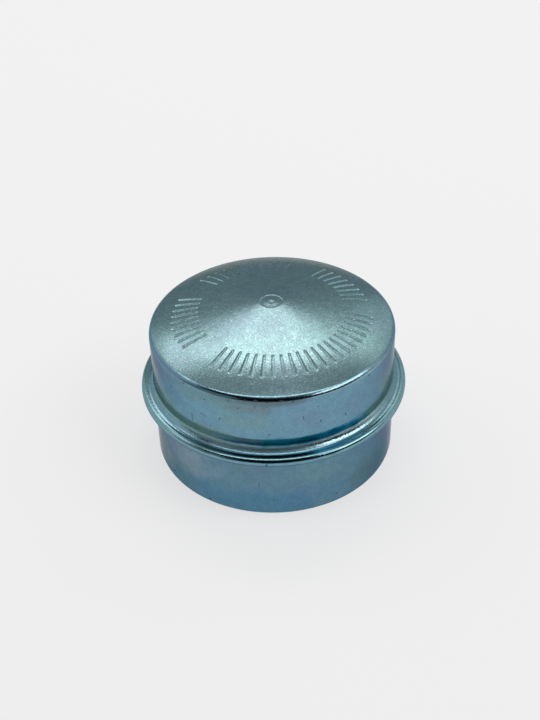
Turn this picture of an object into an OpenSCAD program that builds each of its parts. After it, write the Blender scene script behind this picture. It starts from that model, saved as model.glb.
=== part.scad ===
// Press-in grease cap for the hub of a trailer wheel: one cup drawn from sheet steel, with a folded flange
// round its waist and a shallow conical crown. The open mouth is at Z = 0, the crown is at the top.

/* [Sheet] */
// Thickness of the sheet steel
sheet_t = 1.1; // [0.8:0.05:1.3]

/* [Skirt] */
// Outer diameter of the skirt that is pressed into the bore of the hub
skirt_d = 64.5; // [40:0.1:90]
// Height of the skirt, from its open mouth to the underside of the flange
skirt_h = 18.5; // [10:0.1:40]
// Rounding on both edges of the mouth
mouth_r = 0.3; // [0.1:0.05:0.4]
// Radius of the root between the skirt and the flange
root_r = 1.3; // [0.8:0.1:1.6]

/* [Flange] */
// How far the flange stands out from the skirt
flange_reach = 3.05; // [2.7:0.05:6]
// Gap left between the two layers of the fold
fold_gap = 0.3; // [0.1:0.05:0.5]

/* [Body] */
// How much smaller the radius of the body is than the radius of the skirt
body_step = 0.35; // [0:0.05:1]
// Height from the top of the flange to the start of the shoulder
body_h = 15; // [10:0.05:40]

/* [Waist] */
// How far the wall leans in above the flange, where the fold has drawn it in, in degrees
waist_lean = 7; // [4:0.5:9]
// Radius through which the wall starts to lean in
waist_upper_r = 5; // [3:0.5:11]
// Radius through which it turns upright again
waist_lower_r = 14; // [8:0.5:16]
// Fillet between the waist and the top of the flange
foot_fillet = 2.1; // [1.2:0.1:2.6]

/* [Crown] */
// Outside radius of the shoulder between the body and the crown
shoulder_r = 1.8; // [1.35:0.05:3]
// Slope of the crown beside the shoulder, in degrees
brow_slope = 20.5; // [15:0.5:30]
// Slope of the conical middle of the crown, in degrees
cone_slope = 10; // [4:0.5:13]
// Width of the curved brow, from the shoulder in to the conical middle
brow_w = 10.2; // [6:0.1:12]

/* [Centre mark] */
// Radius of the flat struck at the top of the crown
flat_r = 3; // [1.5:0.1:5]
// Depth of the flat below the cone at its edge
flat_depth = 0.12; // [0.05:0.01:0.3]
// Radius of the ball end of the centre punch
punch_r = 1.2; // [0.8:0.05:1.5]
// Depth of the punch mark below the flat
punch_depth = 0.35; // [0.1:0.05:0.5]

/* [Hidden] */
$fn = 180;

// Derived places are rounded, and a wide arc starts this far under its neighbour, so that they share one edge
seam = 0.0002;
// How far the two arcs of the waist run into each other, so that they cross and don't just touch
lap = 0.004;
function tidy(x) = round(x * 10000) / 10000;
function tidy_pair(p) = [tidy(p[0]), tidy(p[1])];

skirt_r = skirt_d / 2;
body_r = skirt_r - body_step;

// Fold at the rim of the flange
fold_r = sheet_t + fold_gap / 2;
fold_c = [skirt_r + flange_reach - fold_r, skirt_h + fold_r];
flange_top = skirt_h + 2 * fold_r;

// Root below the flange
root_c = [skirt_r + root_r, skirt_h - root_r];

// Foot of the body: a fillet that ends level on the flange, at the latest where the fold begins
waist_r = tidy(body_r - (waist_upper_r + waist_lower_r) * (1 - cos(waist_lean)));
foot_r = min(foot_fillet, fold_c[0] - waist_r);
foot_c = [waist_r + foot_r, flange_top + foot_r];

// Waist above the foot
waist_lower_c = [waist_r + waist_lower_r, foot_c[1]];
waist_upper_c = [body_r - waist_upper_r,
                 tidy(foot_c[1] + (waist_upper_r + waist_lower_r) * sin(waist_lean) - lap)];

// Crown: shoulder, brow and cone, each tangent to the next
shoulder_c = [body_r - shoulder_r, flange_top + body_h];
brow_dir = [sin(brow_slope), cos(brow_slope)];
cone_dir = [sin(cone_slope), cos(cone_slope)];
brow_r = tidy((brow_w + shoulder_r * brow_dir[0]) / (brow_dir[0] - cone_dir[0]));
brow_c = tidy_pair(shoulder_c - (brow_r - shoulder_r) * brow_dir);
cone_end = brow_c + brow_r * cone_dir;
apex_z = cone_end[1] + cone_end[0] * tan(cone_slope);
flat_z = tidy(apex_z - flat_r * tan(cone_slope) - flat_depth);

// The part of a disc that lies between two directions, in degrees
module sector(c, r, from, to) {
    reach = 2 * r;
    translate(c) intersection() {
        circle(r = r);
        polygon([[0, 0], reach * [cos(from), sin(from)], reach * [cos(to), sin(to)]]);
    }
}

// Everything under one face of the crown, where depth is how far that face lies below the outer one
module under_crown(depth) {
    end = brow_c + (brow_r - depth) * cone_dir;
    drop = [0, 2 * seam];
    intersection() {
        translate([0, flange_top]) square([skirt_d, apex_z]);
        union() {
            // shoulder
            translate(shoulder_c) circle(r = shoulder_r - depth);
            // brow, which runs on a little under the cone
            sector(brow_c, brow_r - depth - seam, 90 - brow_slope, 95 - cone_slope);
            // cone
            polygon([[0, 0], [end[0], 0], end - drop, [0, end[1] + end[0] * tan(cone_slope)] - drop]);
        }
    }
}

// Everything inside one face of the body, from its foot to its shoulder
module in_body(depth) {
    // as wide as the narrowest place of the waist
    square([waist_r - depth, shoulder_c[1]]);
    // upright wall
    translate([0, waist_upper_c[1]]) square([body_r - depth, shoulder_c[1] - waist_upper_c[1]]);
    // upper half of the waist, which runs on a little under the lower half
    sector(waist_upper_c, waist_upper_r - depth, -waist_lean - 2, 0);
    // lower half of the waist
    difference() {
        translate([0, foot_c[1]]) square([body_r - depth, (waist_lower_r + depth) * sin(waist_lean)]);
        translate(waist_lower_c) circle(r = waist_lower_r + depth);
    }
}

// Outline of the cap as if it were solid
module outer_face() {
    // skirt, rounded at the mouth
    translate([0, mouth_r]) square([skirt_r, skirt_h]);
    square([skirt_r - mouth_r, skirt_h]);
    translate([skirt_r - mouth_r, mouth_r]) circle(r = mouth_r);
    // root below the flange
    difference() {
        translate([0, root_c[1]]) square([root_c[0], root_r]);
        translate(root_c) circle(r = root_r);
    }
    // flange
    translate([0, skirt_h]) square([fold_c[0], 2 * fold_r]);
    translate(fold_c) circle(r = fold_r);
    // foot of the body, with nothing below the flange
    difference() {
        square(foot_c);
        translate(foot_c) circle(r = foot_r);
        square([foot_c[0], skirt_h + fold_r]);
    }
    in_body(0);
    // crown, with its struck flat and punch mark
    difference() {
        under_crown(0);
        translate([-flat_r, flat_z]) square([2 * flat_r, apex_z]);
        translate([0, flat_z - punch_depth + punch_r]) circle(r = punch_r);
    }
}

// Outline of the space inside the cap
module inner_face() {
    inner_r = skirt_r - sheet_t;
    // skirt, rounded at the mouth
    translate([0, -mouth_r]) square([inner_r, root_c[1] + mouth_r]);
    difference() {
        translate([0, -mouth_r]) square([inner_r + mouth_r, 2 * mouth_r]);
        translate([inner_r + mouth_r, mouth_r]) circle(r = mouth_r);
    }
    // between the two layers of the fold
    difference() {
        translate([0, root_c[1]]) square([fold_c[0], foot_c[1] - root_c[1]]);
        translate(root_c) circle(r = root_r + sheet_t);
        translate(root_c) square([flange_reach, root_r + sheet_t]);
        translate(foot_c) circle(r = foot_r + sheet_t);
        translate([foot_c[0], flange_top - sheet_t]) square([flange_reach, foot_r + sheet_t]);
    }
    translate(fold_c) circle(r = fold_gap / 2);
    in_body(sheet_t);
    // crown, level below the struck flat
    difference() {
        under_crown(sheet_t);
        translate([-body_r, flat_z - sheet_t]) square([2 * body_r, apex_z]);
    }
}

module hub_cap() {
    color("lightsteelblue") rotate_extrude() difference() {
        outer_face();
        inner_face();
    }
}

hub_cap();
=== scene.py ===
"""Looks of a press-in grease cap for a wheel hub: one pressed cup of zinc-plated sheet steel."""
import logging
import math
from dataclasses import dataclass, field
from enum import Enum

import bmesh
import bpy
from mathutils import Matrix, Quaternion, Vector


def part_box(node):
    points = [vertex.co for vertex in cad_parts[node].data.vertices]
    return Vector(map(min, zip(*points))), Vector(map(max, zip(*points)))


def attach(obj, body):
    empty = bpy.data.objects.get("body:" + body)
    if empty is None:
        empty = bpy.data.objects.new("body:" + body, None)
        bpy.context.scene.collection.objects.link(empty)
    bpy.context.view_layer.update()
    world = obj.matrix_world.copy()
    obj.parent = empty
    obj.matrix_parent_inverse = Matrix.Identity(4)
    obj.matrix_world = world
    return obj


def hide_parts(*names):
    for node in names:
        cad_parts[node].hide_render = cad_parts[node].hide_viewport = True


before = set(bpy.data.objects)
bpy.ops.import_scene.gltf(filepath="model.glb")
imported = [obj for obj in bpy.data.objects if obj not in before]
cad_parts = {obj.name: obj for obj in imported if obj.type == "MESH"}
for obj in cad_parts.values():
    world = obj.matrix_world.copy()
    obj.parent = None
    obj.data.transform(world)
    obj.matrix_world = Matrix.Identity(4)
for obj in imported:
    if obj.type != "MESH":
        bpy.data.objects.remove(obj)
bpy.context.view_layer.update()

log = logging.getLogger("grease_cap")

MM = 0.001
BODY = "root"
CAD_NODE = "hub_cap"
# height above the floor from which the lamps and flags are aimed
MIDDLE_Z = 30 * MM
# kinds of node that are used often
MATHS = "ShaderNodeMath"
VECTOR = "ShaderNodeVectorMath"
RAMP = "ShaderNodeMapRange"
MIX = "ShaderNodeMix"

Point = tuple[float, float]
Colour = tuple[float, float, float, float]
Source = float | Colour | bpy.types.NodeSocket | bpy.types.Node
Span = tuple[float, ...]


def linear(hex_colour: str) -> Colour:
    """Turns an sRGB hex colour into the linear colour that a shader takes.

    Args:
        hex_colour: Six hex digits, such as "8fb0b8".

    Returns:
        Red, green, blue and an alpha of 1.
    """
    channels = [int(hex_colour[i:i + 2], 16) / 255 for i in (0, 2, 4)]
    red, green, blue = (c / 12.92 if c <= 0.04045 else ((c + 0.055) / 1.055) ** 2.4 for c in channels)
    return red, green, blue, 1.0


def add(tree: bpy.types.NodeTree, kind: str, inputs: dict | tuple = (), **settings) -> bpy.types.Node:
    """Adds one node to a tree.

    Args:
        tree: The shader or geometry tree.
        kind: The node's type name.
        inputs: Values, sockets or nodes by the input's name, or in the order of the inputs in use. A node
            stands for its first output in use.
        **settings: Properties of the node, set before its inputs.

    Returns:
        The new node.
    """
    made = tree.nodes.new(kind)
    for name, value in settings.items():
        setattr(made, name, value)
    named = isinstance(inputs, dict)
    targets = [made.inputs[name] for name in inputs] if named else [s for s in made.inputs if s.enabled]
    for target, value in zip(targets, inputs.values() if named else inputs):
        if isinstance(value, bpy.types.Node):
            value = next(socket for socket in value.outputs if socket.enabled)
        if isinstance(value, bpy.types.NodeSocket):
            tree.links.new(value, target)
        else:
            target.default_value = value
    return made


def band(tree: bpy.types.NodeTree, value: Source, limits: Span) -> bpy.types.Node:
    """Adds a factor that is 1 over a stretch of a value, with a smooth step at each end.

    Args:
        tree: The material's tree.
        value: A height, a radius or a distance.
        limits: Where the factor starts and is full and, for a stretch that ends, where it fades and is gone.

    Returns:
        The node whose output is the factor.
    """
    start, full, *end = limits
    rise = add(tree, RAMP, (value, start, full, 0.0, 1.0), interpolation_type="SMOOTHSTEP")
    if not end:
        return rise
    fall = add(tree, RAMP, (value, *end, 1.0, 0.0), interpolation_type="SMOOTHSTEP")
    return add(tree, MATHS, (rise, fall), operation="MULTIPLY")


def arc(centre: Point, radius: float, start: float, end: float, steps: int) -> list[Point]:
    """Points along an arc of the section.

    Args:
        centre: Centre of the arc.
        radius: Its radius.
        start: First angle, in degrees from the outward direction.
        end: Last angle, in degrees.
        steps: How many chords the arc is divided into.

    Returns:
        The points from start to end.
    """
    angles = (math.radians(start + (end - start) * i / steps) for i in range(steps + 1))
    return [(centre[0] + radius * math.cos(a), centre[1] + radius * math.sin(a)) for a in angles]


@dataclass(frozen=True)
class StrokeRing:
    """Plain radial strokes pressed into the crown, in runs with a gap between each two.

    Each keeps to the columns of the lathed mesh, so that its flanks stay crisp.
    """

    inner_r: float = 19.0
    outer_r: float = 25.8
    depth: float = 0.2
    pitch_columns: int = 12
    half_columns: float = 1.0
    flank_columns: float = 1.0
    flank_r: float = 0.28
    # middle and half width of each gap, in degrees to the right from the front
    gaps: tuple[Point, ...] = ((-49.0, 9.0), (-119.5, 7.0), (93.0, 8.0), (157.5, 10.0))


@dataclass
class Cap:
    """The cap: its section in millimetres, lathed about the upright axis."""

    sheet: float = 1.1
    skirt_r: float = 32.25
    skirt_h: float = 18.5
    mouth_r: float = 0.3
    root_r: float = 1.3
    fold_gap: float = 0.3
    body_r: float = 31.9
    body_h: float = 15.0
    waist_lean: float = 7.0
    waist_upper_r: float = 5.0
    waist_lower_r: float = 14.0
    foot_r: float = 2.1
    shoulder_r: float = 1.8
    brow_slope: float = 20.5
    brow_w: float = 10.2
    cone_slope: float = 10.0
    flat_r: float = 3.0
    flat_depth: float = 0.12
    punch_r: float = 1.2
    punch_depth: float = 0.35
    columns: int = 720
    # heights of the plain rings of the skirt and the wall, and radii of those outside the strokes
    skirt_rings: Span = (1.0, 9.0)
    wall_ring: float = 31.0
    outer_rings: Span = (28.5, 27.0)
    # how many rings each end of the strokes has, and which ones are kept between the ends
    end_rings: int = 4
    middle_step: int = 3
    # the edge of the struck flat, by how far each ring lies outside it, or inside it and above the flat
    edge_outside: Span = (0.35, 0.06, 0.01)
    edge_inside: tuple[Point, ...] = ((0.03, 0.02), (0.15, 0.0), (1.0, 0.0))
    punch_rim: float = 0.12
    # points nearer than this are merged
    merge: float = 0.001
    strokes: StrokeRing = field(default_factory=StrokeRing)

    def __post_init__(self) -> None:
        """Takes the flange's radius from the frame and works out the places that follow from the sizes."""
        self.flange_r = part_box(CAD_NODE)[1][0] / MM
        self.fold_r = self.sheet + self.fold_gap / 2
        self.fold_c = (self.flange_r - self.fold_r, self.skirt_h + self.fold_r)
        self.root_c = (self.skirt_r + self.root_r, self.skirt_h - self.root_r)
        lean = math.radians(self.waist_lean)
        self.waist_r = self.body_r - (self.waist_upper_r + self.waist_lower_r) * (1 - math.cos(lean))
        flange_top = self.skirt_h + 2 * self.fold_r
        self.foot_c = (self.waist_r + self.foot_r, flange_top + self.foot_r)
        self.waist_lower_c = (self.waist_r + self.waist_lower_r, self.foot_c[1])
        self.waist_upper_c = (self.body_r - self.waist_upper_r,
                              self.foot_c[1] + (self.waist_upper_r + self.waist_lower_r) * math.sin(lean))
        brow, cone = math.radians(self.brow_slope), math.radians(self.cone_slope)
        self.shoulder_c = (self.body_r - self.shoulder_r, flange_top + self.body_h)
        self.cone_r = self.shoulder_c[0] - self.brow_w
        self.brow_r = (self.brow_w + self.shoulder_r * math.sin(brow)) / (math.sin(brow) - math.sin(cone))
        self.brow_c = (self.shoulder_c[0] - (self.brow_r - self.shoulder_r) * math.sin(brow),
                       self.shoulder_c[1] - (self.brow_r - self.shoulder_r) * math.cos(brow))
        self.apex_z = self.brow_c[1] + self.brow_r / math.cos(cone) + self.brow_c[0] * math.tan(cone)
        self.flat_z = self.apex_z - self.flat_r * math.tan(cone) - self.flat_depth

    def inner_section(self) -> list[Point]:
        """The section's inner face, from the axis under the crown down to the mouth.

        Returns:
            The points, as radius and height.
        """
        t, lean = self.sheet, self.waist_lean
        inner_apex = self.apex_z - t / math.cos(math.radians(self.cone_slope))
        flat_end = (inner_apex - self.flat_z + t) / math.tan(math.radians(self.cone_slope))
        points = [(0.0, self.flat_z - t), (flat_end, self.flat_z - t)]
        points += arc(self.brow_c, self.brow_r - t, 90 - self.cone_slope, 90 - self.brow_slope, 6)
        points += arc(self.shoulder_c, self.shoulder_r - t, 90 - self.brow_slope, 0, 5)
        points += arc(self.waist_upper_c, self.waist_upper_r - t, 0, -lean, 2)
        points += arc(self.waist_lower_c, self.waist_lower_r + t, 180 - lean, 180, 2)[1:]
        points += arc(self.foot_c, self.foot_r + t, 180, 270, 8)[1:]
        points += [(self.fold_c[0], self.foot_c[1] - self.foot_r - t)]
        points += arc(self.fold_c, self.fold_gap / 2, 90, -90, 4)[1:]
        points += arc(self.root_c, self.root_r + t, 90, 180, 7)
        points += arc((self.skirt_r - t + self.mouth_r, self.mouth_r), self.mouth_r, 180, 270, 3)
        return points

    def outer_section(self) -> list[Point]:
        """The section's outer face, from the mouth up to the middle of the crown.

        Returns:
            The points, as radius and height.
        """
        points = arc((self.skirt_r - self.mouth_r, self.mouth_r), self.mouth_r, 270, 360, 3)
        points += [(self.skirt_r, z) for z in self.skirt_rings]
        points += arc(self.root_c, self.root_r, 180, 90, 7)
        points += arc(self.fold_c, self.fold_r, -90, 90, 16)
        points += arc(self.foot_c, self.foot_r, 270, 180, 14)
        points += arc(self.waist_lower_c, self.waist_lower_r, 180, 180 - self.waist_lean, 4)[1:]
        points += arc(self.waist_upper_c, self.waist_upper_r, -self.waist_lean, 0, 4)[1:]
        points += [(self.body_r, self.wall_ring)]
        points += arc(self.shoulder_c, self.shoulder_r, 0, 90 - self.brow_slope, 9)
        return points + self.crown_section()

    def crown_section(self) -> list[Point]:
        """The crown's outer face inside the shoulder, with rings close together where the strokes end.

        Returns:
            The points, as radius and height.
        """
        ring = self.strokes
        count = math.ceil((ring.outer_r - ring.inner_r) / ring.flank_r) + 2
        pitch = (ring.outer_r - ring.inner_r + 2 * ring.flank_r) / count
        kept = [i for i in range(count + 1)
                if min(i, count - i) < self.end_rings or i % self.middle_step == 0]
        radii = [*self.outer_rings, *(ring.outer_r + ring.flank_r - i * pitch for i in kept)]
        radii += [self.flat_r + step for step in self.edge_outside]
        points = [(r, self.crown_height(r)) for r in radii]
        points += [(self.flat_r - step, self.flat_z + rise) for step, rise in self.edge_inside]
        ball = (0.0, self.flat_z - self.punch_depth + self.punch_r)
        edge = math.acos((self.punch_r - self.punch_depth) / self.punch_r)
        points += [(self.punch_r * math.sin(edge) + self.punch_rim, self.flat_z)]
        points += arc(ball, self.punch_r, 270 + math.degrees(edge), 270, 6)
        return points

    def crown_height(self, r: float) -> float:
        """Height of the crown's outer face at a radius.

        Args:
            r: Radius from the axis, inside the shoulder.

        Returns:
            The height of the cone or the brow there.
        """
        if r < self.cone_r:
            return self.apex_z - r * math.tan(math.radians(self.cone_slope))
        return self.brow_c[1] + math.sqrt(self.brow_r ** 2 - (r - self.brow_c[0]) ** 2)

    def section_mesh(self) -> bpy.types.Mesh:
        """The section as a mesh of points alone, with an attribute that marks where strokes may be pressed.

        Returns:
            The mesh.
        """
        inner, outer = self.inner_section(), self.outer_section()
        points = inner + outer
        mesh = bpy.data.meshes.new("cap_section")
        mesh.from_pydata([(r * MM, 0, z * MM) for r, z in points], [], [])
        pressed = mesh.attributes.new("pressed", "FLOAT", "POINT")
        first = len(inner)
        for i, (r, z) in enumerate(points):
            pressed.data[i].value = float(i >= first and z > self.shoulder_c[1] and r < self.shoulder_c[0])
        log.info("section: %d points", len(points))
        return mesh

    def lathe_tree(self) -> bpy.types.NodeTree:
        """Geometry Nodes that turn the section about the axis and press the strokes into it.

        Returns:
            The tree.
        """
        tree = bpy.data.node_groups.new("lathe_and_press", "GeometryNodeTree")
        face = tree.interface
        face.new_socket("Geometry", in_out="INPUT", socket_type="NodeSocketGeometry")
        for name, kind in (("Columns", "Int"), ("Pitch columns", "Int"), ("Half columns", "Float"),
                           ("Flank columns", "Float"), ("Inner radius", "Float"), ("Outer radius", "Float"),
                           ("Flank", "Float"), ("Depth", "Float"), ("Material", "Material")):
            face.new_socket(name, in_out="INPUT", socket_type=f"NodeSocket{kind}")
        face.new_socket("Geometry", in_out="OUTPUT", socket_type="NodeSocketGeometry")
        given = add(tree, "NodeGroupInput").outputs

        # a grid with one column more than the turn, whose last column is merged into the first
        section, columns = given["Geometry"], given["Columns"]
        count = add(tree, "GeometryNodeAttributeDomainSize", (section,)).outputs["Point Count"]
        across = add(tree, MATHS, (columns, 1), operation="ADD")
        grid = add(tree, "GeometryNodeMeshGrid", {"Vertices X": count, "Vertices Y": across}).outputs["Mesh"]
        index = add(tree, "GeometryNodeInputIndex")
        rings = add(tree, MATHS, (add(tree, MATHS, (index, 0.5), operation="ADD"), across), operation="DIVIDE")
        ring = add(tree, MATHS, (rings,), operation="FLOOR")
        before = add(tree, MATHS, (ring, across), operation="MULTIPLY")
        column = add(tree, MATHS, (index, before), operation="SUBTRACT")

        # the section's point for each point of the grid, turned about the axis
        position = add(tree, "GeometryNodeInputPosition")
        place = add(tree, "GeometryNodeSampleIndex", {"Geometry": section, "Index": ring, "Value": position},
                    data_type="FLOAT_VECTOR")
        radius, _, height = add(tree, "ShaderNodeSeparateXYZ", (place,)).outputs
        turns = add(tree, MATHS, (column, columns), operation="DIVIDE")
        angle = add(tree, MATHS, (turns, math.tau), operation="MULTIPLY")
        sine, cosine = (add(tree, MATHS, (angle,), operation=wave) for wave in ("SINE", "COSINE"))
        right = add(tree, MATHS, (radius, sine), operation="MULTIPLY")
        ahead = add(tree, MATHS, (radius, cosine), operation="MULTIPLY")
        back = add(tree, MATHS, (ahead, -1.0), operation="MULTIPLY")
        turned = add(tree, "ShaderNodeCombineXYZ", (right, back, height))
        drop = self.stroke_drop(tree, given, column, radius)
        allowed = add(tree, "GeometryNodeInputNamedAttribute", {"Name": "pressed"}, data_type="FLOAT")
        allowed = add(tree, "GeometryNodeSampleIndex", {"Geometry": section, "Index": ring, "Value": allowed},
                      data_type="FLOAT")
        drop = add(tree, MATHS, (drop, allowed), operation="MULTIPLY")
        offset = add(tree, "ShaderNodeCombineXYZ", {"Z": drop})

        lathed = add(tree, "GeometryNodeSetPosition", {"Geometry": grid, "Position": turned, "Offset": offset})
        closed = add(tree, "GeometryNodeMergeByDistance", {"Geometry": lathed, "Distance": self.merge * MM})
        smooth = add(tree, "GeometryNodeSetShadeSmooth", {"Geometry": closed})
        real = add(tree, "GeometryNodeRealizeInstances", {"Geometry": smooth})
        dressed = add(tree, "GeometryNodeSetMaterial", {"Geometry": real, "Material": given["Material"]})
        add(tree, "NodeGroupOutput", {"Geometry": dressed})
        return tree

    def stroke_drop(self, tree: bpy.types.NodeTree, given: bpy.types.NodeOutputs, column: Source,
                    radius: Source) -> bpy.types.Node:
        """Adds how far each point of the grid is pressed down.

        A stroke is full depth between its flanks, across the columns and along the radius.

        Args:
            tree: The lathe's tree.
            given: The tree's inputs.
            column: The point's column.
            radius: The point's radius.

        Returns:
            The node whose output is the drop, which is 0 or less.
        """
        pitch, flank_columns, flank = given["Pitch columns"], given["Flank columns"], given["Flank"]
        pitches = add(tree, MATHS, (column, pitch), operation="DIVIDE")
        number = add(tree, MATHS, (pitches,), operation="ROUND")
        middle = add(tree, MATHS, (number, pitch), operation="MULTIPLY")
        offset = add(tree, MATHS, (column, middle), operation="SUBTRACT")
        offset = add(tree, MATHS, (offset,), operation="ABSOLUTE")
        half = add(tree, MATHS, (given["Half columns"], flank_columns), operation="ADD")
        mask = 1.0
        for far, near, width in ((half, offset, flank_columns), (radius, given["Inner radius"], flank),
                                 (given["Outer radius"], radius, flank)):
            inside = add(tree, MATHS, (far, near), operation="SUBTRACT")
            inside = add(tree, MATHS, (inside, width), operation="DIVIDE", use_clamp=True)
            mask = add(tree, MATHS, (mask, inside), operation="MULTIPLY")
        degrees = add(tree, MATHS, (middle, 360.0), operation="MULTIPLY")
        degrees = add(tree, MATHS, (degrees, given["Columns"]), operation="DIVIDE")
        for gap_middle, half_width in self.strokes.gaps:
            away = add(tree, MATHS, (degrees, gap_middle), operation="SUBTRACT")
            away = add(tree, MATHS, (away, 180.0, -180.0), operation="WRAP")
            away = add(tree, MATHS, (away,), operation="ABSOLUTE")
            kept = add(tree, MATHS, (away, half_width), operation="GREATER_THAN")
            mask = add(tree, MATHS, (mask, kept), operation="MULTIPLY")
        depth = add(tree, MATHS, (given["Depth"], -1.0), operation="MULTIPLY")
        return add(tree, MATHS, (mask, depth), operation="MULTIPLY")

    def build(self, material: bpy.types.Material) -> bpy.types.Object:
        """Makes the lathed and pressed cap as one plain mesh.

        Args:
            material: The finish of the whole sheet.

        Returns:
            The cap's object, which stands for the CAD node.
        """
        source = bpy.data.objects.new("cap_source", self.section_mesh())
        bpy.context.scene.collection.objects.link(source)
        lathe = source.modifiers.new("lathe", "NODES")
        lathe.node_group = self.lathe_tree()
        ring = self.strokes
        values = {"Columns": self.columns, "Pitch columns": ring.pitch_columns,
                  "Half columns": ring.half_columns, "Flank columns": ring.flank_columns,
                  "Inner radius": ring.inner_r * MM, "Outer radius": ring.outer_r * MM,
                  "Flank": ring.flank_r * MM, "Depth": ring.depth * MM, "Material": material}
        for item in lathe.node_group.interface.items_tree:
            if item.in_out == "INPUT" and item.name in values:
                lathe[item.identifier] = values[item.name]
        graph = bpy.context.evaluated_depsgraph_get()
        mesh = bpy.data.meshes.new_from_object(source.evaluated_get(graph))
        bpy.data.objects.remove(source)
        self.face_outwards(mesh)
        piece = bpy.data.objects.new("grease_cap", mesh)
        bpy.context.scene.collection.objects.link(piece)
        return piece

    @staticmethod
    def face_outwards(mesh: bpy.types.Mesh) -> None:
        """Turns every face of a closed mesh outwards.

        Args:
            mesh: The mesh.
        """
        work = bmesh.new()
        work.from_mesh(mesh)
        bmesh.ops.recalc_face_normals(work, faces=work.faces)
        work.to_mesh(mesh)
        work.free()


@dataclass(frozen=True)
class Cloud:
    """A noise in the plate: the width of its cells in millimetres, its detail and its seed.

    A smooth step may be taken of it, between two limits of the noise, and that step has its own first and
    last value. An upright factor below 1 draws the cells out along the axis.
    """

    size: float
    detail: float
    seed: float
    limits: Span = (0.0, 1.0)
    ends: Span = (0.0, 1.0)
    upright: float = 1.0

    def build(self, tree: bpy.types.NodeTree, mm: Source) -> bpy.types.Node:
        """Adds the noise.

        Args:
            tree: The material's tree.
            mm: The place, in millimetres.

        Returns:
            The node whose output is the noise.
        """
        drawn = add(tree, VECTOR, (mm, (1.0, 1.0, self.upright)), operation="MULTIPLY")
        inputs = {"Vector": drawn, "W": self.seed, "Scale": 1 / self.size, "Detail": self.detail}
        return add(tree, "ShaderNodeTexNoise", inputs, noise_dimensions="4D")

    def step(self, tree: bpy.types.NodeTree, mm: Source) -> bpy.types.Node:
        """Adds the noise and the smooth step of it."""
        inputs = self.build(tree, mm), *self.limits, *self.ends
        return add(tree, RAMP, inputs, interpolation_type="SMOOTHSTEP")


@dataclass(frozen=True)
class Dots:
    """Scattered round dots: their pitch in millimetres, two radii as shares of it, and the share left empty.

    A dot is full up to the first radius and gone at the second.
    """

    pitch: float
    full: float
    gone: float
    empty: float

    def build(self, tree: bpy.types.NodeTree, mm: Source) -> bpy.types.Node:
        """Adds the dots.

        Args:
            tree: The material's tree.
            mm: The place, in millimetres.

        Returns:
            The node whose output is 1 in the dots and 0 between them.
        """
        cells = add(tree, "ShaderNodeTexVoronoi", {"Vector": mm, "Scale": 1 / self.pitch}).outputs
        draw = add(tree, "ShaderNodeSeparateXYZ", (cells["Color"],))
        kept = add(tree, MATHS, (draw, self.empty), operation="GREATER_THAN")
        limits = self.full, self.gone
        dot = add(tree, RAMP, (cells["Distance"], *limits, 1.0, 0.0), interpolation_type="SMOOTHSTEP")
        return add(tree, MATHS, (dot, kept), operation="MULTIPLY")


@dataclass(frozen=True)
class Tint:
    """A colour that the film takes in a zone, and its share where the zone is full."""

    colour: str
    share: float

    def over(self, tree: bpy.types.NodeTree, film: Source, zone: Source) -> bpy.types.Node:
        """Adds the tint to a film.

        Args:
            tree: The material's tree.
            film: The film's colour so far.
            zone: Where the tint lies, from 0 to 1.

        Returns:
            The node whose output is the tinted film.
        """
        factor = add(tree, MATHS, (zone, self.share), operation="MULTIPLY")
        return add(tree, MIX, (factor, film, linear(self.colour)), data_type="RGBA")


@dataclass(frozen=True)
class Mark:
    """A pit or scratch in the wall: its azimuth from the front, its height, and its half width and half height.

    The azimuth is in degrees and the rest in millimetres.
    """

    azimuth: float
    z: float
    half_w: float
    half_h: float

    def inside(self, tree: bpy.types.NodeTree, zones: "Zones", limits: Span, fringe: Source) -> bpy.types.Node:
        """Adds where the mark lies on the outer face of the wall.

        Args:
            tree: The material's tree.
            zones: The zones of the plate.
            limits: Where the mark starts to fade and is gone, in units of its half sizes.
            fringe: A noise that makes its edge ragged, or 0 for a clean edge.

        Returns:
            The node whose output is 1 in the mark and 0 outside it.
        """
        per_half = (1 / self.half_w, 1 / self.half_h, 0.0)
        scaled = add(tree, VECTOR, (zones.on_wall, per_half), operation="MULTIPLY")
        centre = (math.radians(self.azimuth) * zones.wall_r / self.half_w, self.z / self.half_h, 0.0)
        away = add(tree, VECTOR, (scaled, centre), operation="DISTANCE")
        ragged = add(tree, MATHS, (away, fringe), operation="ADD")
        inside = add(tree, RAMP, (ragged, *limits, 1.0, 0.0), interpolation_type="SMOOTHSTEP")
        return add(tree, MATHS, (inside, zones.outer), operation="MULTIPLY")


@dataclass(frozen=True)
class StainAndPaintedLight(Tint, Mark):
    """A soft patch of the wall's film, for stains and painted light: a mark's place and sizes, and a tint's."""


@dataclass(frozen=True)
class Zones:
    """Places on the plate, in millimetres, and where each finish lies, as factors from 0 to 1.

    on_wall is the distance from the front along the wall, whose radius is wall_r, and the height. outer is 1
    on the outer face, from the wall outwards.
    """

    wall_r: float
    mm: Source
    y: Source
    z: Source
    radius: Source
    on_wall: Source
    outer: Source
    crown: Source
    bend: Source
    foot: Source
    fold: Source
    rough_and_sheen: Source
    beads_and_highlight: Source
    dull: Source


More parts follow.
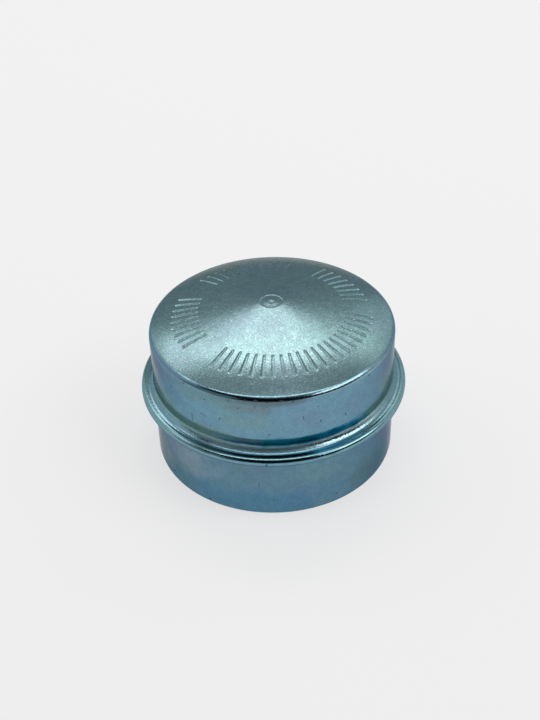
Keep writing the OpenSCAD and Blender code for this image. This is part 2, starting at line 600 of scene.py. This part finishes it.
@dataclass(frozen=True)
class ZincPlate:
    """Bright zinc plate with blue passivation over drawn steel.

    The plate is a metal, so it gives tinted reflections and no body colour. The crown was struck by a
    rough die, which leaves a satin grain, and its sparkle is painted as bright dots. The walls were drawn,
    which leaves faint upright lines. One side of the bends is painted lighter as a highlight, so it is the
    brightest, and the foot of the wall and patches of the walls take painted reflections and painted shade.
    """

    name: str = "blue_passivated_zinc"
    crown_colour: str = "92b7ba"
    wall_colour: str = "6f98ac"
    edge_colour: str = "b4bcc4"
    # painted shade: the skirt's film is darkened for the shadowed floor that it mirrors
    skirt_painted_shade: float = 0.79
    crown_violet: Tint = Tint("99a9c0", 0.3)
    crown_green: Tint = Tint("86bcae", 0.3)
    wall_violet: Tint = Tint("758da6", 0.6)
    wall_green: Tint = Tint("739c9f", 0.5)
    rear_rim: Tint = Tint("b2b8a6", 0.6)
    # painted reflection: a greener grey beside the front of the wall's foot, where it mirrors the lit flange
    rough_and_sheen: Tint = Tint("7ca094", 0.7)
    foot: Tint = Tint("85aab0", 0.8)
    fold: Tint = Tint("8bb2b6", 0.8)
    # painted highlight: a lighter tint where the highlights fall on one side of the shoulder and the foot
    beads_and_highlight: Tint = Tint("a6c4ca", 0.8)
    # painted highlight: bright dots that stand for the crown's sparkle
    painted_glint: Tint = Tint("e2f2f2", 0.35)
    soil: Tint = Tint("2a3338", 0.85)
    speckle_share: float = 0.3
    crown_roughness: float = 0.23
    wall_roughness: float = 0.19
    foot_roughness: float = 0.46
    rough_and_sheen_roughness: float = 0.4
    fold_roughness: float = 0.18
    bend_roughness: float = 0.16
    highlight_roughness: float = 0.24
    violet_roughness: float = 0.04
    soil_roughness: float = 0.25
    # limits of the zones by height, by radius and around the wall from the front, in millimetres
    wall_r: float = 32.25
    outer_r: float = 31.5
    crown_z: Span = (37.2, 37.8)
    shoulder_z: Span = (35.9, 36.5, 37.1, 37.5)
    # height of the shoulder's painted highlight
    highlight_z: Span = (36.4, 36.8)
    flange_z: Span = (16.6, 17.4, 23.2, 24.6)
    foot_z: Span = (21.15, 21.5, 22.2, 22.75)
    # heights of the painted reflection at the foot of the wall
    rough_and_sheen_z: Span = (22.0, 22.6, 24.4, 26.8)
    skirt_z: Span = (16.5, 18.5)
    fold_z: Span = (19.5, 20.5)
    fold_r: Span = (32.9, 33.3)
    rear_y: Span = (12.0, 27.0)
    rear_r: Span = (21.0, 28.0)
    # where the painted reflection is left off at the front, and where the painted highlight lies
    no_sheen_around: Span = (-15.5, -8.0, 21.0, 28.0)
    highlight_around: Span = (3.0, 14.0, 26.0, 38.0)
    dull_around: Span = (-20.0, -13.0)
    # patterns, the finest of them a little coarser than a pixel of the photo, so that they show
    violet_cloud: Cloud = Cloud(16.0, 3.0, 0.0, (0.46, 0.68))
    green_cloud: Cloud = Cloud(12.0, 3.0, 5.0, (0.5, 0.72))
    dents: Cloud = Cloud(5.0, 1.0, 8.0)
    fringe: Cloud = Cloud(4.0, 3.0, 9.0)
    mottle: Cloud = Cloud(1.8, 2.0, 3.0, (0.35, 0.65), (0.95, 1.04))
    drawn_lines: Cloud = Cloud(0.7, 3.0, 4.0, upright=0.06)
    beads: Cloud = Cloud(0.6, 1.0, 6.0, upright=0.3)
    grain: Cloud = Cloud(0.34, 3.0, 1.0)
    fleck: Cloud = Cloud(0.34, 1.0, 2.0, (0.3, 0.7), (-1.0, 1.0))
    speckle: Cloud = Cloud(0.34, 1.0, 13.0, (0.4, 0.6))
    # the dots of the painted glints
    painted_glints: Dots = Dots(0.5, 0.2, 0.5, 0.88)
    specks: Dots = Dots(3.4, 0.03, 0.06, 0.72)
    # how much the fleck lightens and darkens the walls, and how much more it does so on the crown
    wall_swing: float = 0.08
    crown_swing: float = 0.06
    # where patches and marks start to fade and are gone, in units of their half sizes, and by how much of
    # those the fringe moves a patch's edge in or out
    patch_limits: Span = (0.3, 1.2)
    mark_limits: Span = (0.6, 1.2)
    fringe_swing: float = 0.7
    # heights of the relief, in units of its depth in millimetres
    relief_mm: float = 0.02
    grain_height: float = 1.4
    wall_grain_height: float = 0.06
    line_height: float = 0.2
    bend_bead_height: float = 0.9
    foot_bead_height: float = 1.6
    highlight_bead_height: float = 1.5
    dent_height: float = 0.5
    pit_height: float = -1.5
    # the struck flat is left slightly domed, out to a radius, and falls this much in each millimetre
    dome_r: float = 2.8
    dome_fall: float = -6.0
    stains_and_painted_light: tuple[StainAndPaintedLight, ...] = (
        StainAndPaintedLight(-12.0, 34.3, 8.0, 2.2, "71868b", 0.8), StainAndPaintedLight(-4.0, 36.2, 15.0, 1.2, "5f7074", 0.8),
        StainAndPaintedLight(-38.0, 35.0, 12.0, 3.0, "6f9298", 0.7), StainAndPaintedLight(-66.0, 34.5, 7.0, 4.0, "7d8aa0", 0.7),
        StainAndPaintedLight(62.0, 33.0, 9.0, 6.0, "7f8ca0", 0.6), StainAndPaintedLight(-12.0, 30.0, 9.0, 3.0, "77999a", 0.5),
        # painted reflections: pale green at -64 degrees mirrors the lit flange, dark teal at 13 the dark flags
        StainAndPaintedLight(-64.0, 25.5, 9.0, 2.6, "90b4a6", 0.7), StainAndPaintedLight(13.0, 23.85, 19.0, 1.5, "0a7894", 1.0),
        # painted reflection of the lit flange at -24 degrees, painted shade of the floor low on the skirt at -8
        StainAndPaintedLight(-24.0, 24.0, 6.0, 1.0, "5c9aa6", 0.7), StainAndPaintedLight(-8.0, 3.0, 24.0, 6.0, "50809c", 0.8),
        # painted reflection of the lit floor, low on the skirt at -66 degrees
        StainAndPaintedLight(11.0, 5.0, 6.0, 4.0, "5a7ea6", 0.25), StainAndPaintedLight(-66.0, 6.0, 7.0, 6.0, "94a89e", 0.7),
        # painted shade of the floor's shadow, low on the skirt at 50 degrees
        StainAndPaintedLight(50.0, 4.0, 9.0, 6.0, "5c7680", 0.7), StainAndPaintedLight(63.0, 12.0, 6.0, 5.0, "767e96", 0.6),
        # painted reflection of the dark flags on the fold at the front
        StainAndPaintedLight(20.0, 13.0, 8.0, 4.0, "6f959c", 0.5), StainAndPaintedLight(0.0, 20.4, 20.0, 0.4, "065468", 0.9),
        # painted reflections of the dark flags at the foot of the wall, at 30 and 8 degrees
        StainAndPaintedLight(30.0, 23.8, 8.0, 1.3, "05506a", 1.0), StainAndPaintedLight(8.0, 22.95, 24.0, 0.45, "04405a", 0.9),
        # painted reflection of the lit floor on the skirt at -48 degrees
        StainAndPaintedLight(-48.0, 12.0, 12.0, 6.0, "8fa0ac", 0.65), StainAndPaintedLight(-70.0, 29.0, 6.0, 4.0, "b0c6bc", 0.7),
        StainAndPaintedLight(66.0, 28.0, 9.0, 4.0, "88a6a6", 0.6),
    )
    marks: tuple[Mark, ...] = (
        Mark(-31.7, 34.3, 0.18, 0.22), Mark(-33.9, 29.3, 0.18, 0.16), Mark(-33.0, 29.2, 0.14, 0.12),
        Mark(-32.2, 29.1, 0.16, 0.18), Mark(-31.5, 28.9, 0.14, 0.14), Mark(-24.7, 29.6, 0.16, 0.26),
        Mark(-52.5, 32.5, 0.22, 0.18), Mark(-39.5, 26.9, 0.09, 1.5), Mark(-8.3, 35.0, 0.08, 0.5),
        Mark(-15.8, 34.2, 0.2, 0.14), Mark(12.5, 31.0, 0.08, 0.7), Mark(19.2, 33.5, 0.15, 0.18),
        Mark(20.3, 28.8, 0.12, 0.4), Mark(-2.5, 26.5, 0.16, 0.26), Mark(-29.5, 26.5, 0.16, 0.2),
        Mark(46.7, 36.0, 0.24, 0.2), Mark(33.0, 28.0, 0.12, 0.5), Mark(-32.5, 1.0, 0.4, 0.25),
        Mark(28.3, 2.7, 0.3, 0.2), Mark(-56.7, 2.3, 0.4, 0.3), Mark(-7.8, 10.0, 0.08, 1.0),
        Mark(-3.7, 19.6, 0.25, 0.35), Mark(-25.0, 36.75, 0.45, 0.1), Mark(-17.0, 36.85, 0.6, 0.12),
        Mark(-12.5, 36.7, 0.4, 0.14), Mark(-8.0, 36.9, 0.55, 0.1), Mark(-3.0, 36.6, 0.35, 0.12),
        Mark(3.0, 36.8, 0.5, 0.1), Mark(-43.0, 36.4, 0.4, 0.12), Mark(8.0, 36.4, 0.25, 0.15),
        Mark(-20.0, 35.9, 0.12, 0.3),
    )

    def build(self) -> bpy.types.Material:
        """Makes the material.

        Returns:
            The material.
        """
        material = bpy.data.materials.new(self.name)
        material.use_nodes = True
        tree = material.node_tree
        tree.nodes.clear()
        zones = self.zones(tree)
        violet, green = self.violet_cloud.step(tree, zones.mm), self.green_cloud.step(tree, zones.mm)
        films = self.wall_film(tree, zones, violet, green), self.crown_film(tree, zones, violet, green)
        film = add(tree, MIX, (zones.crown, *films), data_type="RGBA")
        film = add(tree, VECTOR, (film, self.shade(tree, zones)), operation="SCALE")
        pits = self.pits(tree, zones)
        shader = add(tree, "ShaderNodeBsdfPrincipled", {
            "Base Color": self.soil.over(tree, film, pits), "Metallic": 1.0,
            "Roughness": self.roughness(tree, zones, violet, pits), "Specular Tint": linear(self.edge_colour),
            "Normal": self.relief(tree, zones, pits)})
        add(tree, "ShaderNodeOutputMaterial", {"Surface": shader})
        return material

    def zones(self, tree: bpy.types.NodeTree) -> Zones:
        """Adds the places on the plate and the zones of its finishes.

        Args:
            tree: The material's tree.

        Returns:
            The nodes and sockets whose outputs are the places and zones.
        """
        mm = add(tree, VECTOR, (add(tree, "ShaderNodeTexCoord").outputs["Object"], 1 / MM), operation="SCALE")
        x, y, z = add(tree, "ShaderNodeSeparateXYZ", (mm,)).outputs
        squares = tuple(add(tree, MATHS, (part, part), operation="MULTIPLY") for part in (x, y))
        radius = add(tree, MATHS, (add(tree, MATHS, squares, operation="ADD"),), operation="SQRT")
        ahead = add(tree, MATHS, (y, -1.0), operation="MULTIPLY")
        azimuth = add(tree, MATHS, (x, ahead), operation="ARCTAN2")
        around = add(tree, MATHS, (azimuth, self.wall_r), operation="MULTIPLY")
        shoulder, foot = band(tree, z, self.shoulder_z), band(tree, z, self.foot_z)
        # painted highlight: one side of the shoulder's upper part and of the foot is tinted light where it
        # shines
        highlight_heights = add(tree, MATHS, (shoulder, band(tree, z, self.highlight_z)), operation="MULTIPLY")
        highlight_heights = add(tree, MATHS, (highlight_heights, foot), operation="MAXIMUM")
        # painted reflection: on both sides of a bright stretch at the front, the foot of the wall is rougher
        # and takes a greener grey where it mirrors the lit flange
        beside = add(tree, MATHS, (1.0, band(tree, around, self.no_sheen_around)), operation="SUBTRACT")
        pairs = {"fold": (band(tree, radius, self.fold_r), band(tree, z, self.fold_z)),
                 "rough_and_sheen": (beside, band(tree, z, self.rough_and_sheen_z)),
                 "beads_and_highlight": (highlight_heights, band(tree, around, self.highlight_around)),
                 "dull": (foot, band(tree, around, self.dull_around))}
        both = {name: add(tree, MATHS, pair, operation="MULTIPLY") for name, pair in pairs.items()}
        return Zones(
            wall_r=self.wall_r, mm=mm, y=y, z=z, radius=radius, crown=band(tree, z, self.crown_z), foot=foot,
            on_wall=add(tree, "ShaderNodeCombineXYZ", (around, z)),
            outer=add(tree, MATHS, (radius, self.outer_r), operation="GREATER_THAN"),
            bend=add(tree, MATHS, (shoulder, band(tree, z, self.flange_z)), operation="MAXIMUM"), **both)

    def wall_film(self, tree: bpy.types.NodeTree, zones: Zones, violet: Source,
                  green: Source) -> bpy.types.Node:
        """Adds the film on the walls and the flange: broad clouds, the zones' tints and soft patches.

        Args:
            tree: The material's tree.
            zones: The zones of the plate.
            violet: Where the film is violet.
            green: Where the film is green.

        Returns:
            The node whose output is the film's colour.
        """
        film = self.wall_violet.over(tree, linear(self.wall_colour), violet)
        film = self.wall_green.over(tree, film, green)
        # painted shade: the skirt is darker than the body above it, for the shadowed floor that it mirrors
        limits = *self.skirt_z, self.skirt_painted_shade, 1.0
        shade = add(tree, RAMP, (zones.z, *limits), interpolation_type="SMOOTHSTEP")
        film = add(tree, VECTOR, (film, shade), operation="SCALE")
        # painted light: the sheen beside the front is a painted reflection, the one-sided tint a painted
        # highlight
        for tint, zone in ((self.rough_and_sheen, zones.rough_and_sheen), (self.foot, zones.foot), (self.fold, zones.fold),
                           (self.beads_and_highlight, zones.beads_and_highlight)):
            film = tint.over(tree, film, zone)
        swing = 2 * self.fringe_swing, -self.fringe_swing
        fringe = add(tree, MATHS, (self.fringe.build(tree, zones.mm), *swing), operation="MULTIPLY_ADD")
        # some of these patches are painted reflections and painted shade
        for patch in self.stains_and_painted_light:
            film = patch.over(tree, film, patch.inside(tree, zones, self.patch_limits, fringe))
        return film

    def crown_film(self, tree: bpy.types.NodeTree, zones: Zones, violet: Source,
                   green: Source) -> bpy.types.Node:
        """Adds the film on the crown: faint clouds, coloured speckle, painted glints and a greyer rear rim.

        Args:
            tree: The material's tree.
            zones: The zones of the plate.
            violet: Where the film is violet.
            green: Where the film is green.

        Returns:
            The node whose output is the film's colour.
        """
        film = self.crown_violet.over(tree, linear(self.crown_colour), violet)
        film = self.crown_green.over(tree, film, green)
        colours = linear(self.crown_green.colour), linear(self.crown_violet.colour)
        speckle = add(tree, MIX, (self.speckle.step(tree, zones.mm), *colours), data_type="RGBA")
        film = add(tree, MIX, (self.speckle_share, film, speckle), data_type="RGBA")
        # painted highlight: bright dots in the film stand for the crown's sparkle
        film = self.painted_glint.over(tree, film, self.painted_glints.build(tree, zones.mm))
        rear = band(tree, zones.y, self.rear_y), band(tree, zones.radius, self.rear_r)
        return self.rear_rim.over(tree, film, add(tree, MATHS, rear, operation="MULTIPLY"))

    def shade(self, tree: bpy.types.NodeTree, zones: Zones) -> bpy.types.Node:
        """Adds how much lighter or darker the film is from place to place: fine fleck over a soft mottle.

        Args:
            tree: The material's tree.
            zones: The zones of the plate.

        Returns:
            The node whose output is the factor.
        """
        fleck = self.fleck.step(tree, zones.mm)
        swing = add(tree, MATHS, (zones.crown, self.crown_swing, self.wall_swing), operation="MULTIPLY_ADD")
        fleck = add(tree, MATHS, (fleck, swing, 1.0), operation="MULTIPLY_ADD")
        return add(tree, MATHS, (fleck, self.mottle.step(tree, zones.mm)), operation="MULTIPLY")

    def pits(self, tree: bpy.types.NodeTree, zones: Zones) -> bpy.types.Node:
        """Adds scattered specks, and the pits and scratches of the wall.

        Args:
            tree: The material's tree.
            zones: The zones of the plate.

        Returns:
            The node whose output is 1 in a pit and 0 outside it.
        """
        pits = self.specks.build(tree, zones.mm)
        for mark in self.marks:
            here = mark.inside(tree, zones, self.mark_limits, 0.0)
            pits = add(tree, MATHS, (pits, here), operation="MAXIMUM")
        return pits

    def relief(self, tree: bpy.types.NodeTree, zones: Zones, pits: Source) -> bpy.types.Node:
        """Adds the relief: satin grain on the crown, upright lines on the walls and beads on the bends.

        Args:
            tree: The material's tree.
            zones: The zones of the plate.
            pits: Where the pits are.

        Returns:
            The node whose output is the normal.
        """
        grain, beads = self.grain.build(tree, zones.mm), self.beads.build(tree, zones.mm)
        walls = add(tree, MATHS, (grain, self.wall_grain_height), operation="MULTIPLY")
        lines = self.drawn_lines.build(tree, zones.mm)
        walls = add(tree, MATHS, (lines, self.line_height, walls), operation="MULTIPLY_ADD")
        for zone, height in ((zones.bend, self.bend_bead_height), (zones.foot, self.foot_bead_height),
                             (zones.beads_and_highlight, self.highlight_bead_height)):
            here = add(tree, MATHS, (beads, zone), operation="MULTIPLY")
            walls = add(tree, MATHS, (here, height, walls), operation="MULTIPLY_ADD")
        satin = add(tree, MATHS, (grain, self.grain_height), operation="MULTIPLY")
        relief = add(tree, MIX, (zones.crown, walls, satin))
        dome = add(tree, MATHS, (zones.radius, self.dome_r), operation="MINIMUM")
        for pattern, height in ((self.dents.build(tree, zones.mm), self.dent_height), (pits, self.pit_height),
                                (dome, self.dome_fall)):
            relief = add(tree, MATHS, (pattern, height, relief), operation="MULTIPLY_ADD")
        return add(tree, "ShaderNodeBump", {"Height": relief, "Strength": 1.0, "Distance": self.relief_mm * MM})

    def roughness(self, tree: bpy.types.NodeTree, zones: Zones, violet: Source, pits: Source) -> bpy.types.Node:
        """Adds the roughness of each zone, a little more where the film is violet or there is soil.

        Args:
            tree: The material's tree.
            zones: The zones of the plate.
            violet: Where the film is violet.
            pits: Where the pits are.

        Returns:
            The node whose output is the roughness.
        """
        rough = add(tree, MIX, (zones.crown, self.wall_roughness, self.crown_roughness))
        for zone, value in ((zones.bend, self.bend_roughness), (zones.rough_and_sheen, self.rough_and_sheen_roughness),
                            (zones.dull, self.foot_roughness), (zones.fold, self.fold_roughness),
                            (zones.beads_and_highlight, self.highlight_roughness)):
            rough = add(tree, MIX, (zone, rough, value))
        violet = add(tree, MATHS, (violet, 0.5), operation="SUBTRACT")
        soil = add(tree, MATHS, (pits, self.soil.share), operation="MULTIPLY")
        rough = add(tree, MATHS, (violet, self.violet_roughness, rough), operation="MULTIPLY_ADD")
        return add(tree, MATHS, (soil, self.soil_roughness, rough), operation="MULTIPLY_ADD")


@dataclass(frozen=True)
class Painted:
    """A plain matt surface of one colour, for the flags.

    It mirrors nothing, so the cap sees an even dark shape.
    """

    name: str
    colour: str
    roughness: float = 0.9

    def build(self) -> bpy.types.Material:
        """Makes the material.

        Returns:
            The material.
        """
        material = bpy.data.materials.new(self.name)
        material.use_nodes = True
        shader = material.node_tree.nodes["Principled BSDF"]
        shader.inputs["Base Color"].default_value = linear(self.colour)
        shader.inputs["Roughness"].default_value = self.roughness
        shader.inputs["Specular IOR Level"].default_value = 0.0
        return material


@dataclass(frozen=True)
class PaleFloor(Painted):
    """A matt white floor that stays pale in the picture and in the plate's reflections.

    Part of what the camera and the plate see of it is plain white, so it reads as a lit backdrop, and the
    rest takes the lamps, so the cap's shadow stays soft and light.
    """

    white: str = "ffffff"
    share: float = 0.62

    def build(self) -> bpy.types.Material:
        """Makes the material.

        Returns:
            The material.
        """
        material = super().build()
        tree = material.node_tree
        rays = add(tree, "ShaderNodeLightPath").outputs
        seen = add(tree, MATHS, (rays["Is Camera Ray"], rays["Is Glossy Ray"]), operation="MAXIMUM")
        seen = add(tree, MATHS, (seen, rays["Is Transmission Ray"]), operation="MAXIMUM")
        part = add(tree, MATHS, (seen, self.share), operation="MULTIPLY")
        plain = add(tree, "ShaderNodeEmission", (linear(self.white),))
        both = add(tree, "ShaderNodeMixShader", (part, tree.nodes["Principled BSDF"], plain))
        tree.links.new(both.outputs[0], tree.nodes["Material Output"].inputs["Surface"])
        return material


class Side(Enum):
    """Sides of the studio, as the direction in degrees from which a lamp shines."""

    BACK = 0.0
    RIGHT = 90.0
    VIEWER = 180.0


@dataclass(frozen=True)
class Softbox:
    """A rectangular lamp that faces the cap, placed and sized by how the cap sees it, in degrees.

    It hangs a turn to the right of the middle of its side, as the viewer sees the back.
    """

    name: str
    side: Side
    turn: float
    elevation: float
    width: float
    height: float
    radiance: float
    roll: float = 0.0
    colour: str = "ffffff"
    distance: float = 1.4

    def build(self) -> None:
        """Makes the lamp."""
        a, e = math.radians(self.side.value + self.turn), math.radians(self.elevation)
        away = Vector((math.sin(a) * math.cos(e), math.cos(a) * math.cos(e), math.sin(e)))
        lamp = bpy.data.lights.new(self.name, "AREA")
        lamp.shape = "RECTANGLE"
        lamp.size = 2 * self.distance * math.tan(math.radians(self.width / 2))
        lamp.size_y = 2 * self.distance * math.tan(math.radians(self.height / 2))
        lamp.energy = self.radiance * math.pi * lamp.size * lamp.size_y
        lamp.color = linear(self.colour)[:3]
        holder = bpy.data.objects.new(self.name, lamp)
        holder.location = Vector((0, 0, MIDDLE_Z)) + away * self.distance
        holder.rotation_mode = "QUATERNION"
        roll = Quaternion((0, 0, 1), math.radians(self.roll))
        holder.rotation_quaternion = away.to_track_quat("Z", "Y") @ roll
        bpy.context.scene.collection.objects.link(holder)


@dataclass(frozen=True)
class Flag:
    """A dark curved screen on the viewer's side, sized by how the cap sees it, in degrees.

    It runs from a first to a last bearing, counted to the right from the viewer's direction.
    """

    name: str
    first: float
    last: float
    low: float
    high: float
    distance: float = 0.75
    panels: int = 12
    cloth: Painted = Painted("flag_cloth", "16191b")

    def build(self) -> None:
        """Makes the screen, which the camera doesn't see."""
        step = (self.last - self.first) / self.panels
        bearings = [math.radians(self.first + step * i) for i in range(self.panels + 1)]
        points = [(self.distance * math.sin(b), -self.distance * math.cos(b),
                   MIDDLE_Z + self.distance * math.tan(math.radians(e)))
                  for b in bearings for e in (self.low, self.high)]
        faces = [(2 * i, 2 * i + 2, 2 * i + 3, 2 * i + 1) for i in range(self.panels)]
        made = Studio.sheet(self.name, points, faces, self.cloth)
        made.visible_camera = False


@dataclass
class Studio:
    """A pale floor, an even grey surround, soft boxes and dark flags behind the viewer."""

    floor_half: float = 2.0
    floor_colour: str = "fbfbfb"
    surround: str = "97999e"
    # each by its side, turn, elevation, width, height, radiance, roll and colour
    softboxes: tuple[Softbox, ...] = (
        Softbox("arch_middle", Side.BACK, 0.0, 59.0, 22.0, 8.5, 2.7, 0.0, "fff2ee"),
        Softbox("arch_left", Side.BACK, -20.0, 50.0, 17.0, 13.0, 1.55, 20.0, "fff6f4"),
        Softbox("arch_right", Side.BACK, 19.0, 50.5, 16.0, 12.0, 1.3, -20.0, "fff6f4"),
        Softbox("arch_low_left", Side.BACK, -37.0, 44.0, 18.0, 13.0, 1.2, 35.0, "fff6f4"),
        Softbox("arch_low_right", Side.BACK, 34.0, 43.0, 16.0, 10.0, 0.6, -35.0, "fff6f4"),
        Softbox("left_strip", Side.BACK, -76.0, 49.0, 16.0, 9.0, 1.7, 0.0, "fff6f4"),
        Softbox("left_band", Side.BACK, -68.0, 25.0, 60.0, 46.0, 0.36),
        Softbox("right_band", Side.BACK, 56.0, 24.0, 62.0, 46.0, 0.32),
        Softbox("overhead", Side.VIEWER, 0.0, 82.0, 62.0, 12.0, 2.2),
        Softbox("right_box", Side.RIGHT, 23.0, 43.0, 42.0, 20.0, 2.5),
    )
    flags: tuple[Flag, ...] = (
        Flag("low_flag", -32.0, 72.0, 8.0, 34.0),
        Flag("high_flag", -75.0, 40.0, 34.0, 60.0),
    )

    def build(self) -> None:
        """Makes the floor, the world, the lamps and the flags."""
        h = self.floor_half
        self.sheet("floor", [(-h, -h, 0), (h, -h, 0), (h, h, 0), (-h, h, 0)], [(0, 1, 2, 3)],
                   PaleFloor("floor_paint", self.floor_colour))
        world = bpy.data.worlds.new("surround")
        world.use_nodes = True
        world.node_tree.nodes["Background"].inputs["Color"].default_value = linear(self.surround)
        bpy.context.scene.world = world
        for box in self.softboxes:
            box.build()
        for flag in self.flags:
            flag.build()

    @staticmethod
    def sheet(name: str, points: list, faces: list, paint: Painted) -> bpy.types.Object:
        """Makes one sheet that is no part of the cap.

        Args:
            name: The object's name.
            points: Its corners, in metres.
            faces: Its faces, as tuples of point numbers.
            paint: Its finish.

        Returns:
            The sheet's object.
        """
        mesh = bpy.data.meshes.new(name)
        mesh.from_pydata(points, [], faces)
        mesh.materials.append(paint.build())
        made = bpy.data.objects.new(name, mesh)
        bpy.context.scene.collection.objects.link(made)
        return made


@dataclass(frozen=True)
class PhotoCamera:
    """The camera of the photograph, as fitted to the cap's outline, in millimetres, pixels and degrees."""

    focal_px: float = 1033.5
    long_side_px: int = 720
    elevation: float = 38.66
    distance: float = 279.33
    orbit_z: float = 18.0
    aim_x: float = -0.764
    aim_z: float = 24.715
    roll: float = -1.843
    sensor: float = 36.0
    # the nearest and farthest that it sees, in metres
    clip: Span = (0.01, 20.0)

    def build(self) -> None:
        """Makes the camera and makes it the scene's."""
        e, roll = math.radians(self.elevation), math.radians(self.roll)
        place = Vector((0, -self.distance * math.cos(e), self.orbit_z + self.distance * math.sin(e)))
        ahead = (Vector((self.aim_x, 0, self.aim_z)) - place).normalized()
        level = ahead.cross(Vector((0, 0, 1))).normalized()
        up = level.cross(ahead)
        right = math.cos(roll) * level + math.sin(roll) * up
        top = -math.sin(roll) * level + math.cos(roll) * up
        turn = Matrix((right, top, -ahead)).transposed()
        lens = bpy.data.cameras.new("photo_camera")
        lens.sensor_width = self.sensor
        lens.lens = self.focal_px / self.long_side_px * lens.sensor_width
        lens.clip_start, lens.clip_end = self.clip
        camera = bpy.data.objects.new("photo_camera", lens)
        camera.matrix_world = Matrix.Translation(place * MM) @ turn.to_4x4()
        bpy.context.scene.collection.objects.link(camera)
        bpy.context.scene.camera = camera


def main() -> None:
    """Builds the camera, the studio and the cap, and ties the cap to the frame."""
    logging.basicConfig(level=logging.INFO, format="%(name)s: %(message)s")
    scene = bpy.context.scene
    scene.view_settings.view_transform = "Standard"
    PhotoCamera().build()
    Studio().build()
    cap = Cap().build(ZincPlate().build())
    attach(cap, BODY)
    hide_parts(CAD_NODE)
    log.info("%s: %d faces", cap.name, len(cap.data.polygons))


if __name__ == "__main__":
    main()
